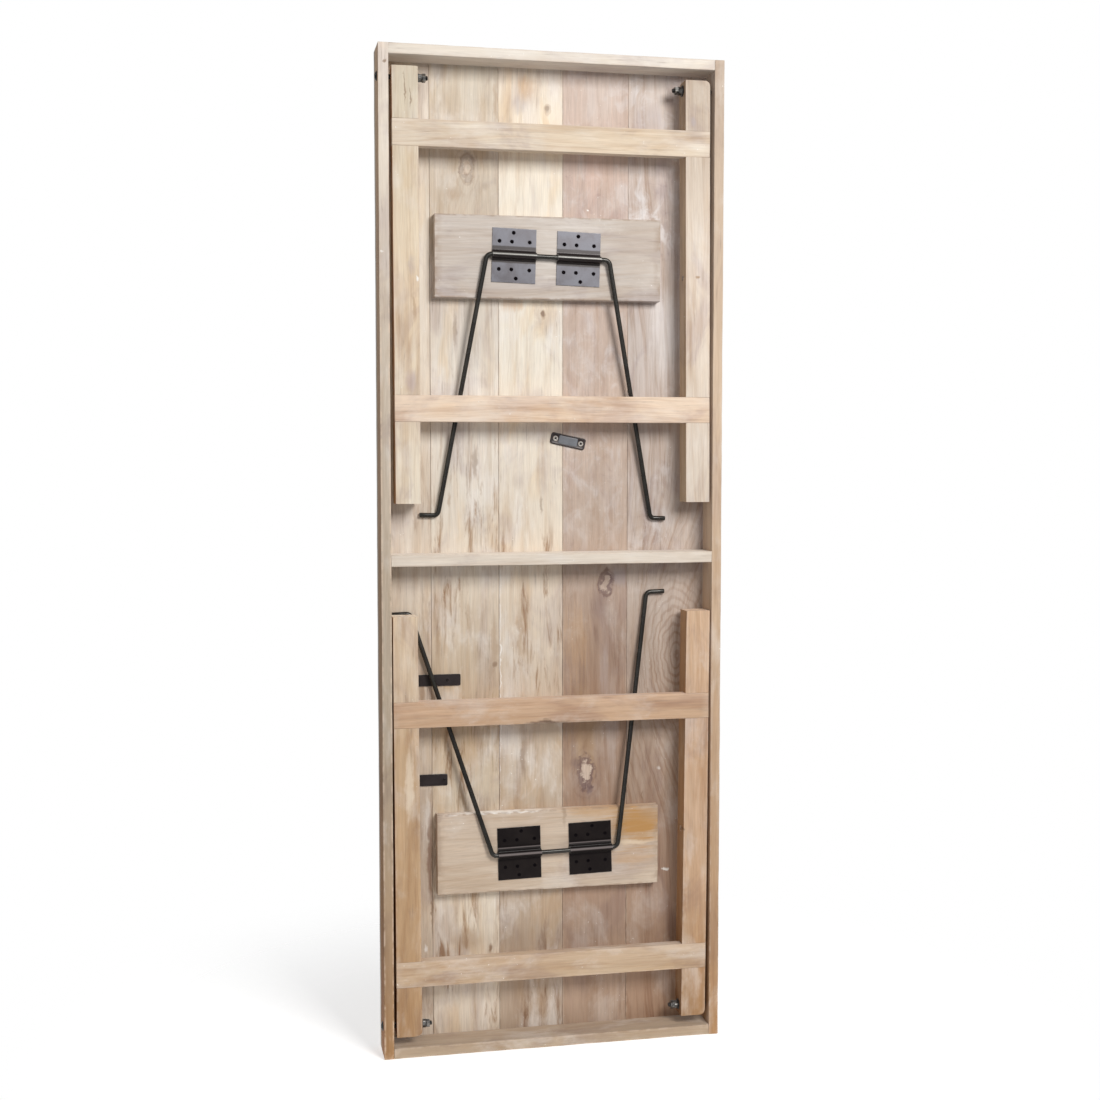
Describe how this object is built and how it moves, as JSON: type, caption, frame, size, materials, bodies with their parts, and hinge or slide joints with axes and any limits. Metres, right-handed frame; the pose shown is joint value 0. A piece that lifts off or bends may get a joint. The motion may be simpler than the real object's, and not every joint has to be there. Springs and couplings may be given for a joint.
{
  "type": "folding table",
  "caption": "Rectangular plank-top wooden table with two folding leg frames held by bent-rod braces, folded flat into its apron.",
  "frame": {"origin": "centre of the footprint, on the surface that the folded table stands on", "axes": "+Z along the table's length (upwards as it stands folded on its short end), +X across its width, -Y out of the underside that holds the legs; turn the root by +90 degrees about X to set the table up with its top level and facing up"},
  "size_m": [0.599, 0.073, 1.7],
  "materials": {
    "plank_wood": "sawn, limewashed and weathered",
    "rail_wood": "planed, matt",
    "leg_wood": "planed, matt",
    "board_wood": "planed, matt",
    "dark_steel": "dark bronzed, semi-gloss",
    "rod_steel": "blackened, satin",
    "plated_steel": "dull zinc plate"
  },
  "bodies": {
    "table_top": {"plank_1": "plank_wood", "plank_2": "plank_wood", "plank_3": "plank_wood", "plank_4": "plank_wood", "plank_5": "plank_wood", "side_rail_left": "rail_wood", "side_rail_right": "rail_wood", "end_rail_top": "rail_wood", "end_rail_bottom": "rail_wood", "centre_batten": "rail_wood", "pivot_bolt_upper_left": "rod_steel", "pivot_bolt_upper_right": "rod_steel", "pivot_bolt_lower_left": "rod_steel", "pivot_bolt_lower_right": "rod_steel", "pivot_washers": "rod_steel", "pivot_nuts_upper": "plated_steel", "pivot_nuts_lower": "plated_steel", "hinge_board_upper": "board_wood", "hinge_board_lower": "board_wood", "saddle_plate_upper_left": "dark_steel", "saddle_plate_upper_right": "dark_steel", "saddle_plate_lower_left": "dark_steel", "saddle_plate_lower_right": "dark_steel", "saddle_screws_upper": "rod_steel", "saddle_screws_lower": "rod_steel", "mending_plate": "dark_steel", "mending_bar_upper": "dark_steel", "mending_bar_lower": "dark_steel", "mending_screws": "plated_steel"},
    "upper_leg_frame": {"leg_upper_left": "leg_wood", "leg_upper_right": "leg_wood", "stretcher_upper_near": "leg_wood", "stretcher_upper_far": "leg_wood"},
    "lower_leg_frame": {"leg_lower_left": "leg_wood", "leg_lower_right": "leg_wood", "stretcher_lower_near": "leg_wood", "stretcher_lower_far": "leg_wood"},
    "upper_brace": {"brace_rod_upper": "rod_steel"},
    "lower_brace": {"brace_rod_lower": "rod_steel"}
  },
  "joints": [
    {"name": "upper_leg_fold", "type": "hinge", "parent": "table_top", "child": "upper_leg_frame", "pos_m": [0, -0.0125, 1.65], "axis": [-1, 0, 0], "range_deg": [0, 92]},
    {"name": "lower_leg_fold", "type": "hinge", "parent": "table_top", "child": "lower_leg_frame", "pos_m": [0, -0.0125, 0.05], "axis": [1, 0, 0], "range_deg": [0, 92]},
    {"name": "upper_brace_swing", "type": "hinge", "parent": "table_top", "child": "upper_brace", "pos_m": [-0.00585, -0.0095, 1.3624], "axis": [-0.9996, 0, 0.0279], "range_deg": [0, 136]},
    {"name": "lower_brace_swing", "type": "hinge", "parent": "table_top", "child": "lower_brace", "pos_m": [0.0069, -0.0095, 0.3371], "axis": [0.9997, 0, 0.0244], "range_deg": [0, 131.5]}
  ],
  "couplings": [
    {"joint": "upper_brace_swing", "follows": "upper_leg_fold", "ratio": 1.475},
    {"joint": "lower_brace_swing", "follows": "lower_leg_fold", "ratio": 1.425}
  ]
}
